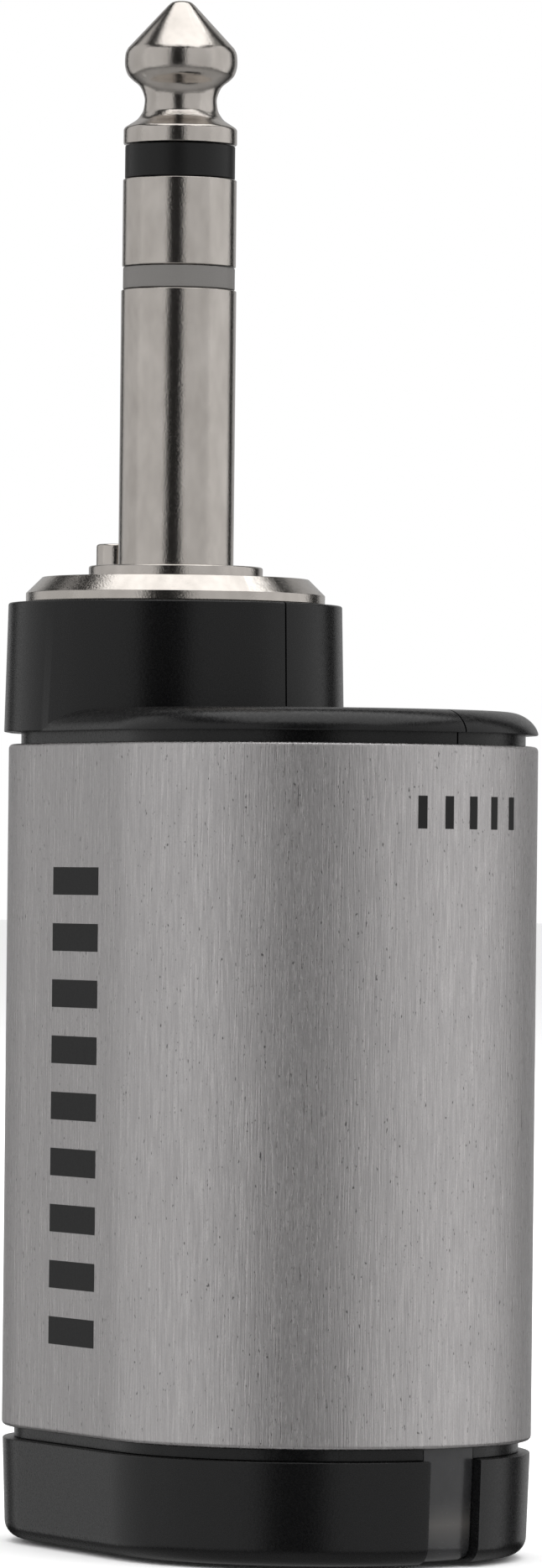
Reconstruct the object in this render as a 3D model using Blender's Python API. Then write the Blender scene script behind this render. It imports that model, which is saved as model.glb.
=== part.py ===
"""Wireless guitar transmitter: a jack plug on an oval body with a brushed metal sleeve.

Frame: origin on the base, in the middle of the oval body; +Z up along the plug,
+X along the body's long axis. The plug stands near the body's -X end, and the
indicator window is at its +X end. Lengths are in metres.
"""

import math

import bmesh
import bpy

MM = 0.001

# ---- driving dimensions -------------------------------------------------------------
# the body's outline is egg-shaped: a small circle round the plug and a large one
# at the +X end, joined by straight sides that touch both
BACK_RADIUS = 9.1 * MM
FRONT_RADIUS = 12.04 * MM
CENTRE_SPACING = 11.8 * MM
BLOCK_RADIUS_TOP = 9.2 * MM
BLOCK_RADIUS_BOTTOM = 9.37 * MM
PLUG_X = (BLOCK_RADIUS_BOTTOM - CENTRE_SPACING - FRONT_RADIUS) / 2.0
FRONT_X = PLUG_X + CENTRE_SPACING
BODY_END_X = FRONT_X + FRONT_RADIUS
ARC_STEP_DEGREES = 6.0

# heights of the stack, from the base up
CAP_TOP = 5.57 * MM
SLEEVE_BOTTOM = 6.21 * MM
SLEEVE_TOP = 43.71 * MM
DOME_BOTTOM = 44.33 * MM
DOME_RISE = 1.25 * MM
DOME_REACH = 1.8 * MM
BLOCK_TOP = 51.5 * MM
WASHER_TOP = 52.94 * MM
FLANGE_TOP = 53.59 * MM
PLUG_TOP = 84.83 * MM

# gaps between pieces that touch on the real object
GAP = 0.05 * MM
PARTING_GAP = 0.07 * MM
WELD_DISTANCE = 0.002 * MM

# walls and insets, measured inwards from the body's outline
NECK_INSET = 0.68 * MM
SLEEVE_WALL = 0.6 * MM
CORE_INNER_INSET = 1.9 * MM
CAP_WALL = 1.25 * MM
CAP_FLOOR = 1.2 * MM
CAP_DRAFT = 0.24 * MM
CAP_EDGE_RADIUS = 1.0 * MM
SPIGOT_BOTTOM = 1.6 * MM

# the plug, all turned on one axis
PLUG_STEPS = 32
PLUG_RADIUS = 3.175 * MM
TIP_LENGTH = 8.0 * MM
TIP_COLLAR_END = 9.84 * MM
RING_END = 14.7 * MM
RING_COLLAR_END = 15.95 * MM
ROD_RADIUS = 0.9 * MM
RING_TUBE_RADII = (1.5 * MM, 1.9 * MM)
FLANGE_RADIUS = 4.8 * MM
TAIL_RADIUS = 3.0 * MM
TAIL_BOTTOM = 47.34 * MM
TUBE_STEP = 0.7 * MM
WASHER_RADIUS = 8.25 * MM
WASHER_TOP_RADIUS = 7.35 * MM
WASHER_EDGE = 0.5 * MM

# the round block under the washer
BLOCK_STEPS = 48
BLOCK_CAVITY_RADIUS = 7.9 * MM
BLOCK_PLATE = 1.66 * MM
DOME_PLATE = 0.9 * MM

CAVITY_TOP = BLOCK_TOP - BLOCK_PLATE
GROUND_LUG_Z = CAVITY_TOP - 0.35 * MM
RING_LUG_Z = 46.19 * MM
TIP_LUG_Z = 44.64 * MM

# the plug-in detection pin
PIN_X = PLUG_X - 5.89 * MM
PIN_Y = 0.74 * MM
PIN_RADIUS = 1.15 * MM
PIN_TOP = 54.99 * MM
PIN_COLLAR_RADIUS = 1.6 * MM
PIN_STEM_RADIUS = 0.5 * MM
PIN_STEM_BOTTOM = 45.34 * MM
BUSH_RADIUS = 1.65 * MM
SPRING_WIRE_RADIUS = 0.14 * MM
SPRING_RADIUS = 1.05 * MM
SPRING_TURNS = 4
LEVER_ARM = 2.9 * MM
LEVER_THICKNESS = 0.3 * MM
LEVER_TOP = PIN_STEM_BOTTOM - 0.07 * MM
LEVER_HINGE_DROP = 0.25 * MM
SWITCH_PLATE_TOP = PIN_STEM_BOTTOM + 0.75 * MM
SWITCH_HALF_WIDTH = 1.5 * MM

# the indicator window
WINDOW_HALF_WIDTH = 1.76 * MM
WINDOW_DEPTH = 2.2 * MM
WINDOW_BOTTOM = 0.35 * MM
WINDOW_TOP = 8.2 * MM

# the electronics inside the core
BOARD_Y = (1.2 * MM, 2.0 * MM)
BOARD_HALF_WIDTH = 11.1 * MM
BOARD_Z = (2.2 * MM, 42.4 * MM)
LEAD_RADIUS = 0.32 * MM
CELL_SIZE = (20.4 * MM, 5.8 * MM, 29.0 * MM)
CELL_CENTRE = (0.8 * MM, -3.45 * MM, 22.5 * MM)
SCREW_X = 12.9 * MM
SCREW_HEIGHTS = (11.0 * MM, 38.5 * MM)
BOSS_RADIUS = 1.5 * MM
BOSS_REACH = 4.1 * MM
SCREW_RADIUS = 0.75 * MM
SCREW_HEAD_RADIUS = 1.2 * MM
SCREW_SEAT_Y = -3.7 * MM


# ---- helpers ------------------------------------------------------------------------
def clear_scene():
    for item in list(bpy.data.objects):
        bpy.data.objects.remove(item, do_unlink=True)


def make_material(name, color, roughness, metallic=0.0, transmission=0.0):
    material = bpy.data.materials.new(name)
    material.use_nodes = True
    shader = material.node_tree.nodes["Principled BSDF"]
    shader.inputs["Base Color"].default_value = (*color, 1.0)
    shader.inputs["Roughness"].default_value = roughness
    shader.inputs["Metallic"].default_value = metallic
    shader.inputs["Transmission Weight"].default_value = transmission
    return material


def object_from_bmesh(name, shape, material, smooth_angle=None):
    bmesh.ops.recalc_face_normals(shape, faces=shape.faces)
    mesh = bpy.data.meshes.new(name)
    shape.to_mesh(mesh)
    shape.free()
    if smooth_angle is not None:
        mesh.shade_smooth()
        mesh.set_sharp_from_angle(angle=math.radians(smooth_angle))
    obj = bpy.data.objects.new(name, mesh)
    bpy.context.scene.collection.objects.link(obj)
    if material is not None:
        mesh.materials.append(material)
    return obj


def place(obj, location=(0.0, 0.0, 0.0), rotation=(0.0, 0.0, 0.0)):
    obj.location = location
    obj.rotation_euler = rotation
    return obj


def circle_outline(steps):
    """A function from a radius to the points of a circle."""
    def points(radius):
        ring = []
        for step in range(steps):
            angle = 2.0 * math.pi * step / steps
            ring.append((radius * math.cos(angle), radius * math.sin(angle)))
        return ring
    return points


def body_outline(inset):
    """The body's outline moved inwards: two arcs whose ends are joined by straight sides."""
    taper = math.degrees(math.asin((FRONT_RADIUS - BACK_RADIUS) / CENTRE_SPACING))
    quarter = 90.0 + taper
    points = []
    for centre, radius, start, end in (
        (FRONT_X, FRONT_RADIUS - inset, -quarter, quarter),
        (PLUG_X, BACK_RADIUS - inset, quarter, 360.0 - quarter),
    ):
        steps = round((end - start) / ARC_STEP_DEGREES)
        for step in range(steps + 1):
            angle = math.radians(start + (end - start) * step / steps)
            points.append((centre + radius * math.cos(angle), radius * math.sin(angle)))
    return points


def stacked_rings(name, profile, outline, material, tube=False, smooth_angle=35.0):
    """Rings of points at the (size, height) pairs of a profile, joined into one solid.

    A tube's profile runs up its outside and down its inside, and closes on itself.
    Any other profile is closed by a flat cap at each end.
    """
    shape = bmesh.new()
    rings = []
    for size, height in profile:
        rings.append([shape.verts.new((x, y, height)) for x, y in outline(size)])
    pairs = list(zip(rings, rings[1:]))
    if tube:
        pairs.append((rings[-1], rings[0]))
    else:
        shape.faces.new(rings[0])
        shape.faces.new(rings[-1])
    for lower, upper in pairs:
        steps = len(lower)
        for step in range(steps):
            following = (step + 1) % steps
            shape.faces.new((lower[step], lower[following], upper[following], upper[step]))
    return object_from_bmesh(name, shape, material, smooth_angle)


def turned(name, profile, material, steps=PLUG_STEPS, tube=False, x=PLUG_X, y=0.0):
    obj = stacked_rings(name, profile, circle_outline(steps), material, tube)
    return place(obj, (x, y, 0.0))


def oval(name, profile, material, tube=False):
    return stacked_rings(name, profile, body_outline, material, tube)


def box(name, low, high, material=None, rounding=0.0):
    """A box between two corners, with its upright edges rounded if asked."""
    shape = bmesh.new()
    bmesh.ops.create_cube(shape, size=1.0)
    centre = [(a + b) / 2.0 for a, b in zip(low, high)]
    size = [b - a for a, b in zip(low, high)]
    bmesh.ops.scale(shape, vec=size, verts=shape.verts)
    if rounding > 0.0:
        bmesh.ops.bevel(shape, geom=shape.edges[:], offset=rounding, segments=2,
                        profile=0.5, affect="EDGES")
    obj = object_from_bmesh(name, shape, material, 35.0 if rounding > 0.0 else None)
    return place(obj, centre)


def cylinder_along_y(name, radius, y_low, y_high, x, z, material=None, steps=20):
    profile = ((radius, y_low), (radius, y_high))
    obj = stacked_rings(name, profile, circle_outline(steps), material)
    return place(obj, (x, 0.0, z), (-math.pi / 2.0, 0.0, 0.0))


def weld(mesh):
    """Merge the near-coincident points that a Boolean leaves where edges almost meet."""
    shape = bmesh.new()
    shape.from_mesh(mesh)
    bmesh.ops.remove_doubles(shape, verts=shape.verts, dist=WELD_DISTANCE)
    bmesh.ops.dissolve_degenerate(shape, edges=shape.edges, dist=WELD_DISTANCE)
    shape.to_mesh(mesh)
    shape.free()


def apply_modifiers(obj):
    bpy.context.view_layer.update()
    graph = bpy.context.evaluated_depsgraph_get()
    mesh = bpy.data.meshes.new_from_object(obj.evaluated_get(graph))
    obj.modifiers.clear()
    obj.data = mesh
    weld(mesh)


def combine(obj, other, operation):
    """Join, cut or keep the common part, and remove the other object."""
    modifier = obj.modifiers.new(operation.lower(), "BOOLEAN")
    modifier.operation = operation
    modifier.solver = "EXACT"
    modifier.object = other
    apply_modifiers(obj)
    bpy.data.objects.remove(other, do_unlink=True)


def copy_object(obj, name):
    twin = obj.copy()
    twin.data = obj.data.copy()
    twin.name = name
    bpy.context.scene.collection.objects.link(twin)
    return twin


def smooth_shading(obj, angle=35.0):
    obj.data.shade_smooth()
    obj.data.set_sharp_from_angle(angle=math.radians(angle))


def arc(centre_size, centre_height, radius, start, end, steps):
    """Points of a profile on an arc; angles in degrees from the size axis."""
    points = []
    for step in range(steps + 1):
        angle = math.radians(start + (end - start) * step / steps)
        size = centre_size + radius * math.cos(angle)
        height = centre_height + radius * math.sin(angle)
        points.append((size, height))
    return points


# ---- the plug -----------------------------------------------------------------------
def below_tip(depth):
    return PLUG_TOP - depth


def build_plug_tip(metal):
    """A cone and bulge, a waist, a collar, and the rod that runs down to its lug."""
    outline = (
        (0.35, 0.0), (0.75, 0.22), (3.0, 2.72), (3.11, 3.1), (3.1, 3.6), (2.95, 4.1),
        (2.55, 4.5), (2.15, 4.93), (2.0, 5.5), (2.05, 6.05), (2.3, 6.5), (2.8, 6.9),
        (3.13, 7.15), (3.13, 7.95),
    )
    profile = [(ROD_RADIUS, below_tip(TIP_LENGTH)), (ROD_RADIUS, TAIL_BOTTOM - 4.0 * TUBE_STEP)]
    profile.reverse()
    for radius, depth in reversed(outline):
        profile.append((radius * MM, below_tip(depth * MM)))
    return turned("plug_tip", profile, metal)


def collar_with_tube(name, material, collar_radius, top, bottom, tube_radii, tail):
    """A collar that fills the plug's diameter, on a thin tube that runs down inside."""
    inner, outer = tube_radii
    profile = (
        (outer, tail), (outer, bottom), (collar_radius, bottom), (collar_radius, top),
        (inner, top), (inner, tail),
    )
    return turned(name, profile, material, tube=True)


def build_plug_contacts(metal, black, grey):
    """The insulators and the ring contact, nested around the tip's rod."""
    ring_inner, ring_outer = RING_TUBE_RADII
    collar_with_tube(
        "tip_insulator", black, PLUG_RADIUS - 0.14 * MM,
        below_tip(TIP_LENGTH + 0.03 * MM), below_tip(TIP_COLLAR_END),
        (ROD_RADIUS + GAP, ring_inner - GAP), TAIL_BOTTOM - 3.0 * TUBE_STEP,
    )
    collar_with_tube(
        "plug_ring", metal, PLUG_RADIUS - 0.04 * MM,
        below_tip(TIP_COLLAR_END) - GAP, below_tip(RING_END),
        (ring_inner, ring_outer), TAIL_BOTTOM - 2.0 * TUBE_STEP,
    )
    collar_with_tube(
        "ring_insulator", grey, PLUG_RADIUS - 0.09 * MM,
        below_tip(RING_END) - GAP, below_tip(RING_COLLAR_END),
        (ring_outer + GAP, ring_outer + 0.5 * MM), TAIL_BOTTOM - TUBE_STEP,
    )


def build_plug_sleeve(metal):
    """The long sleeve contact, its flange and the threaded tail, bored right through."""
    bore = RING_TUBE_RADII[1] + 0.5 * MM + GAP
    top = below_tip(RING_COLLAR_END) - GAP
    flange_bottom = WASHER_TOP + GAP
    profile = (
        (TAIL_RADIUS, TAIL_BOTTOM), (TAIL_RADIUS, flange_bottom),
        (FLANGE_RADIUS, flange_bottom), (FLANGE_RADIUS, FLANGE_TOP),
        (PLUG_RADIUS, FLANGE_TOP), (PLUG_RADIUS, top), (bore, top), (bore, TAIL_BOTTOM),
    )
    return turned("plug_sleeve", profile, metal, tube=True)


def build_plug_washer(metal):
    """The wide bevelled washer, with a hole for the pin beside the plug."""
    bore = TAIL_RADIUS + 0.08 * MM
    bottom = BLOCK_TOP + GAP
    profile = (
        (WASHER_RADIUS - 0.1 * MM, bottom), (WASHER_RADIUS, bottom + WASHER_EDGE),
        (WASHER_TOP_RADIUS, WASHER_TOP), (bore, WASHER_TOP), (bore, bottom),
    )
    washer = turned("plug_washer", profile, metal, steps=56, tube=True)
    hole = turned("pin_hole", ((PIN_RADIUS + 0.1 * MM, bottom - MM),
                               (PIN_RADIUS + 0.1 * MM, WASHER_TOP + MM)),
                  None, steps=24, x=PIN_X, y=PIN_Y)
    combine(washer, hole, "DIFFERENCE")
    smooth_shading(washer)
    return washer


def build_plug_nut(metal):
    """A hexagon nut on the threaded tail, inside the block."""
    top = CAVITY_TOP - 0.4 * MM
    bottom = top - 1.6 * MM
    bore = TAIL_RADIUS + GAP
    across_corners = 4.1 * MM
    nut = stacked_rings("plug_nut", ((across_corners, bottom), (across_corners, top)),
                        circle_outline(6), metal, smooth_angle=None)
    place(nut, (PLUG_X, 0.0, 0.0), (0.0, 0.0, math.pi / 6.0))
    hole = turned("nut_bore", ((bore, bottom - MM), (bore, top + MM)), None, steps=32)
    combine(nut, hole, "DIFFERENCE")
    return nut


def build_lug(name, metal, bore, rim, height, reach):
    """A flat solder lug: a ring round its contact with a tab towards +X."""
    thickness = 0.3 * MM
    half_tab = 0.7 * MM
    lug = turned(name, ((rim, height), (rim, height + thickness)), metal, steps=24)
    tab = box("tab", (PLUG_X, -half_tab, height), (PLUG_X + reach, half_tab, height + thickness))
    combine(lug, tab, "UNION")
    hole = turned("lug_hole", ((bore, height - MM), (bore, height + MM)), None, steps=24)
    combine(lug, hole, "DIFFERENCE")
    return lug


def build_lugs(metal):
    ring_outer = RING_TUBE_RADII[1]
    build_lug("ground_lug", metal, TAIL_RADIUS + GAP, 4.0 * MM, GROUND_LUG_Z, 6.2 * MM)
    build_lug("ring_lug", metal, ring_outer + GAP, 2.8 * MM, RING_LUG_Z, 5.0 * MM)
    build_lug("tip_lug", metal, ROD_RADIUS + GAP, 1.8 * MM, TIP_LUG_Z, 3.8 * MM)


# ---- the housing --------------------------------------------------------------------
def dome_profile():
    """The low dome's rounded edge: a full corner that ends level with the flat top."""
    straight = 0.05 * MM
    steps = 7
    points = [(0.0, DOME_BOTTOM)]
    for step in range(steps + 1):
        inset = DOME_REACH * (step / steps) ** 2
        rise = (1.0 - (1.0 - inset / DOME_REACH) ** 2.2) ** (1.0 / 1.55)
        points.append((inset, DOME_BOTTOM + straight + (DOME_RISE - straight) * rise))
    return points


def build_core():
    """The whole black housing before it is split: spigot, necks, core, dome and block."""
    spigot_inset = CAP_WALL + 2.2 * GAP
    neck_start = CAP_TOP + GAP
    profile = [
        (spigot_inset, SPIGOT_BOTTOM), (spigot_inset, neck_start),
        (NECK_INSET, neck_start), (NECK_INSET, DOME_BOTTOM),
    ]
    core = oval("core", profile + dome_profile(), None)
    block = turned("block", (
        (BLOCK_RADIUS_BOTTOM - 0.02 * MM, DOME_BOTTOM + 0.02 * MM),
        (BLOCK_RADIUS_BOTTOM, DOME_BOTTOM + 0.15 * MM),
        (BLOCK_RADIUS_TOP, BLOCK_TOP - 0.1 * MM), (BLOCK_RADIUS_TOP - 0.1 * MM, BLOCK_TOP),
    ), None, steps=BLOCK_STEPS)
    combine(core, block, "UNION")

    hollow = oval("hollow", ((CORE_INNER_INSET, -MM),
                             (CORE_INNER_INSET, DOME_BOTTOM + DOME_RISE - DOME_PLATE)), None)
    cavity = turned("cavity", ((BLOCK_CAVITY_RADIUS, DOME_BOTTOM + 0.12 * MM),
                               (BLOCK_CAVITY_RADIUS, CAVITY_TOP)), None, steps=48)
    combine(hollow, cavity, "UNION")
    combine(core, hollow, "DIFFERENCE")

    plug_bore = TAIL_RADIUS + 0.08 * MM
    through = (CAVITY_TOP - MM, BLOCK_TOP + MM)
    for radius, x, y in ((plug_bore, PLUG_X, 0.0), (BUSH_RADIUS + GAP, PIN_X, PIN_Y)):
        hole = turned("hole", ((radius, through[0]), (radius, through[1])), None,
                      steps=28, x=x, y=y)
        combine(core, hole, "DIFFERENCE")

    notch = box("window_notch",
                (BODY_END_X - WINDOW_DEPTH - 1.2 * MM, -WINDOW_HALF_WIDTH - GAP, -MM),
                (BODY_END_X + MM, WINDOW_HALF_WIDTH + GAP, WINDOW_TOP + GAP))
    combine(core, notch, "DIFFERENCE")
    return core


def screw_places():
    for x in (-SCREW_X, SCREW_X):
        for z in SCREW_HEIGHTS:
            yield x, z


def add_bosses(core):
    """Round bosses across the core, drilled and counterbored for the four screws."""
    for x, z in screw_places():
        boss = cylinder_along_y("boss", BOSS_RADIUS, -BOSS_REACH, BOSS_REACH, x, z)
        combine(core, boss, "UNION")
    for x, z in screw_places():
        drill = cylinder_along_y("drill", SCREW_RADIUS + GAP, -FRONT_RADIUS, BOSS_REACH - 0.2 * MM, x, z)
        combine(core, drill, "DIFFERENCE")
        sink = cylinder_along_y("sink", SCREW_HEAD_RADIUS + 0.1 * MM, -FRONT_RADIUS, SCREW_SEAT_Y, x, z)
        combine(core, sink, "DIFFERENCE")


def build_housings(black):
    """Split the core on the middle plane into its front and rear halves."""
    core = build_core()
    add_bosses(core)
    reach = 0.06
    for name, low, high in (("front_housing", -PARTING_GAP / 2.0, reach),
                            ("rear_housing", -reach, PARTING_GAP / 2.0)):
        half = copy_object(core, name)
        far_side = box("far_side", (-reach, low, -reach), (reach, high, 2.0 * reach))
        combine(half, far_side, "DIFFERENCE")
        half.data.materials.clear()
        half.data.materials.append(black)
        half.data.name = name
        smooth_shading(half, 30.0)
    bpy.data.objects.remove(core, do_unlink=True)


def build_screws(metal):
    """Cheese-head screws that join the two housing halves."""
    for number, (x, z) in enumerate(screw_places(), start=1):
        seat = SCREW_SEAT_Y - GAP
        head = SCREW_HEAD_RADIUS
        tip = BOSS_REACH - 0.4 * MM
        profile = ((head, seat - 0.65 * MM), (head, seat), (SCREW_RADIUS, seat),
                   (SCREW_RADIUS, tip - 0.4 * MM), (0.3 * MM, tip))
        screw = stacked_rings(f"housing_screw_{number}", profile, circle_outline(16), metal)
        place(screw, (x, 0.0, z), (-math.pi / 2.0, 0.0, 0.0))


def build_metal_sleeve(metal):
    """A thin oval tube with rounded ends, more rounded at the bottom."""
    profile = arc(0.5 * MM, SLEEVE_BOTTOM + 0.5 * MM, 0.5 * MM, 270.0, 180.0, 3)
    profile += arc(0.28 * MM, SLEEVE_TOP - 0.28 * MM, 0.28 * MM, 180.0, 90.0, 3)
    profile += [(SLEEVE_WALL, SLEEVE_TOP), (SLEEVE_WALL, SLEEVE_BOTTOM)]
    return oval("metal_sleeve", profile, metal, tube=True)


def build_bottom_cap(black):
    """A cup with a drafted wall and a rounded lower edge, slotted for the window."""
    outside = [(CAP_DRAFT + CAP_EDGE_RADIUS, 0.0)]
    outside += arc(CAP_DRAFT + CAP_EDGE_RADIUS, CAP_EDGE_RADIUS, CAP_EDGE_RADIUS, 247.5, 180.0, 3)
    outside += [(0.08 * MM, CAP_TOP - 0.1 * MM), (0.15 * MM, CAP_TOP)]
    cap = oval("bottom_cap", outside, black)
    hollow = oval("hollow", ((CAP_WALL + GAP, CAP_FLOOR), (CAP_WALL, CAP_TOP + MM)), None)
    combine(cap, hollow, "DIFFERENCE")
    slot = box("slot", (BODY_END_X - WINDOW_DEPTH - 0.6 * MM, -WINDOW_HALF_WIDTH - GAP, -MM),
               (BODY_END_X + MM, WINDOW_HALF_WIDTH + GAP, CAP_TOP + MM))
    combine(cap, slot, "DIFFERENCE")
    smooth_shading(cap, 30.0)
    return cap


def build_light_pipe(clear):
    """The indicator window: flush with the neck, its lower outer edge rounded."""
    corner = 0.9 * MM
    profile = [(NECK_INSET + 0.25 * MM + corner, WINDOW_BOTTOM)]
    profile += arc(NECK_INSET + 0.25 * MM + corner, WINDOW_BOTTOM + corner, corner, 247.5, 180.0, 3)
    profile += [(NECK_INSET, CAP_TOP), (NECK_INSET, WINDOW_TOP)]
    pipe = oval("light_pipe", profile, clear)
    keep = box("keep", (BODY_END_X - WINDOW_DEPTH - 0.4 * MM, -WINDOW_HALF_WIDTH, -MM),
               (BODY_END_X + MM, WINDOW_HALF_WIDTH, WINDOW_TOP + MM))
    combine(pipe, keep, "INTERSECT")
    pipe.data.materials.clear()
    pipe.data.materials.append(clear)
    smooth_shading(pipe, 30.0)
    return pipe


# ---- the plug-in detection ----------------------------------------------------------
def build_sense_pin(metal):
    """A round pin with a retaining collar and a thin stem that pushes the switch."""
    collar_top = CAVITY_TOP - 0.35 * MM
    collar_bottom = collar_top - 0.6 * MM
    radii = (
        (0.25 * MM, PIN_STEM_BOTTOM), (PIN_STEM_RADIUS, PIN_STEM_BOTTOM + 0.25 * MM),
        (PIN_STEM_RADIUS, collar_bottom), (PIN_COLLAR_RADIUS, collar_bottom),
        (PIN_COLLAR_RADIUS, collar_top), (PIN_RADIUS, collar_top),
        (PIN_RADIUS, PIN_TOP - 0.12 * MM), (PIN_RADIUS - 0.12 * MM, PIN_TOP),
    )
    profile = [(radius, height - PIN_TOP) for radius, height in radii]
    pin = stacked_rings("sense_pin", profile, circle_outline(24), metal)
    return place(pin, (PIN_X, PIN_Y, PIN_TOP))


def build_pin_bush(metal):
    bottom = CAVITY_TOP - 0.3 * MM
    inner = PIN_RADIUS + 0.06 * MM
    top = BLOCK_TOP
    profile = ((BUSH_RADIUS, bottom), (BUSH_RADIUS, top), (inner, top), (inner, bottom))
    return turned("pin_bush", profile, metal, steps=24, tube=True, x=PIN_X, y=PIN_Y)


def build_pin_spring(metal):
    """A coil spring between the pin's collar and the switch's top plate."""
    bottom = SWITCH_PLATE_TOP + SPRING_WIRE_RADIUS + GAP
    top = CAVITY_TOP - 0.95 * MM - SPRING_WIRE_RADIUS - GAP
    per_turn = 14
    count = SPRING_TURNS * per_turn
    curve = bpy.data.curves.new("pin_spring", "CURVE")
    curve.dimensions = "3D"
    curve.bevel_depth = SPRING_WIRE_RADIUS
    curve.bevel_resolution = 1
    curve.use_fill_caps = True
    spline = curve.splines.new("POLY")
    spline.points.add(count)
    for step in range(count + 1):
        angle = 2.0 * math.pi * step / per_turn
        height = bottom + (top - bottom) * step / count
        spline.points[step].co = (SPRING_RADIUS * math.cos(angle),
                                  SPRING_RADIUS * math.sin(angle), height, 1.0)
    curve.materials.append(metal)
    spring = bpy.data.objects.new("pin_spring", curve)
    bpy.context.scene.collection.objects.link(spring)
    return place(spring, (PIN_X, PIN_Y, 0.0))


def build_switch(black):
    """The switch's frame: a top plate that seats the spring, and two cheeks for the lever."""
    hinge_x = PIN_X + LEVER_ARM
    hinge_z = LEVER_TOP - LEVER_HINGE_DROP
    plate_bottom = SWITCH_PLATE_TOP - 0.5 * MM
    low_y = PIN_Y - SWITCH_HALF_WIDTH
    high_y = PIN_Y + SWITCH_HALF_WIDTH
    frame = box("switch_body", (PIN_X - 1.4 * MM, low_y, plate_bottom),
                (hinge_x + 0.6 * MM, high_y, SWITCH_PLATE_TOP), black)
    cheek_width = 0.6 * MM
    for y, bottom in ((low_y, hinge_z - 0.7 * MM), (high_y - cheek_width, BOARD_Z[1] + GAP)):
        cheek = box("cheek", (hinge_x - 0.8 * MM, y, bottom),
                    (hinge_x + 0.6 * MM, y + cheek_width, plate_bottom + 0.1 * MM))
        combine(frame, cheek, "UNION")
    axle_hole = cylinder_along_y("axle_hole", 0.27 * MM, -5.0 * MM, 5.0 * MM, hinge_x, hinge_z)
    combine(frame, axle_hole, "DIFFERENCE")
    stem_hole = turned("stem_hole", ((0.62 * MM, plate_bottom - MM),
                                     (0.62 * MM, SWITCH_PLATE_TOP + MM)),
                       None, steps=16, x=PIN_X, y=PIN_Y)
    combine(frame, stem_hole, "DIFFERENCE")
    return frame


def build_lever(metal):
    """The switch's lever: a flat arm under the pin's stem, on an axle between the cheeks."""
    hinge_z = LEVER_TOP - LEVER_HINGE_DROP
    half_width = 0.8 * MM
    lever = box("switch_lever", (-LEVER_ARM - 0.7 * MM, -half_width, LEVER_HINGE_DROP - LEVER_THICKNESS),
                (0.0, half_width, LEVER_HINGE_DROP), metal)
    bpy.context.view_layer.update()
    barrel = cylinder_along_y("barrel", 0.32 * MM, -half_width, half_width, 0.0, 0.0, steps=16)
    combine(lever, barrel, "UNION")
    axle = cylinder_along_y("axle", 0.2 * MM, -1.4 * MM, 1.4 * MM, 0.0, 0.0, steps=16)
    combine(lever, axle, "UNION")
    for vertex in lever.data.vertices:
        vertex.co += lever.location
    return place(lever, (PIN_X + LEVER_ARM, PIN_Y, hinge_z))


# ---- the electronics ----------------------------------------------------------------
def on_board(name, x, z, size_x, size_z, height, material, front=False, rounding=0.0):
    """A component on the board's rear face, or on its front face."""
    if front:
        low_y = BOARD_Y[0] - GAP - height
        high_y = BOARD_Y[0] - GAP
    else:
        low_y = BOARD_Y[1] + GAP
        high_y = BOARD_Y[1] + GAP + height
    low = (x * MM - size_x * MM / 2.0, low_y, z * MM - size_z * MM / 2.0)
    high = (x * MM + size_x * MM / 2.0, high_y, z * MM + size_z * MM / 2.0)
    return box(name, low, high, material, rounding)


def build_board(green, tin, black, brass, white):
    """The upright main board and what is soldered to it."""
    box("main_board", (-BOARD_HALF_WIDTH, BOARD_Y[0], BOARD_Z[0]),
        (BOARD_HALF_WIDTH, BOARD_Y[1], BOARD_Z[1]), green)
    on_board("radio_shield", 0.0, 17.0, 14.0, 12.0, 1.9 * MM, tin, rounding=0.2 * MM)
    on_board("control_chip", -3.2, 29.5, 7.0, 7.0, 0.9 * MM, black)
    on_board("converter_chip", 4.6, 34.5, 5.0, 5.0, 0.9 * MM, black)
    on_board("status_led", 10.2, 5.8, 1.6, 1.6, 1.0 * MM, white, front=True)
    on_board("battery_socket", 6.2, 39.6, 4.6, 2.6, 2.3 * MM, white, front=True)
    build_antenna(brass)


def build_antenna(metal):
    """A stamped antenna at the board's lower end, inside the plastic cap: a bar on two legs."""
    y_low = BOARD_Y[1] + GAP
    y_high = y_low + 0.3 * MM
    bar = box("antenna", (-7.0 * MM, y_low, 2.5 * MM), (7.0 * MM, y_high, 3.6 * MM), metal)
    for x in (-6.4, -3.9):
        leg = box("leg", ((x - 0.6) * MM, y_low, 3.5 * MM), ((x + 0.6) * MM, y_high, 6.4 * MM))
        combine(bar, leg, "UNION")
    return bar


def build_battery(foil, foam):
    """The flat cell in front of the board, and the foam tape between them."""
    low = [centre - size / 2.0 for centre, size in zip(CELL_CENTRE, CELL_SIZE)]
    high = [centre + size / 2.0 for centre, size in zip(CELL_CENTRE, CELL_SIZE)]
    box("battery_cell", low, high, foil, 0.9 * MM)
    box("battery_pad", (-7.5 * MM, high[1] + GAP, 12.0 * MM),
        (7.5 * MM, BOARD_Y[0] - GAP, 33.0 * MM), foam)


def smooth_route(points, steps):
    """Points on a smooth curve through the given ones, so that a lead bends without kinks."""
    route = []
    ends = [points[0]] + list(points) + [points[-1]]
    for before, start, end, after in zip(ends, ends[1:], ends[2:], ends[3:]):
        for step in range(steps):
            t = step / steps
            spot = []
            for a, b, c, d in zip(before, start, end, after):
                linear = (c - a) * t
                square = (2.0 * a - 5.0 * b + 4.0 * c - d) * t * t
                cube = (3.0 * b - a - 3.0 * c + d) * t * t * t
                spot.append(0.5 * (2.0 * b + linear + square + cube))
            route.append(spot)
    route.append(list(points[-1]))
    return route


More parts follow.
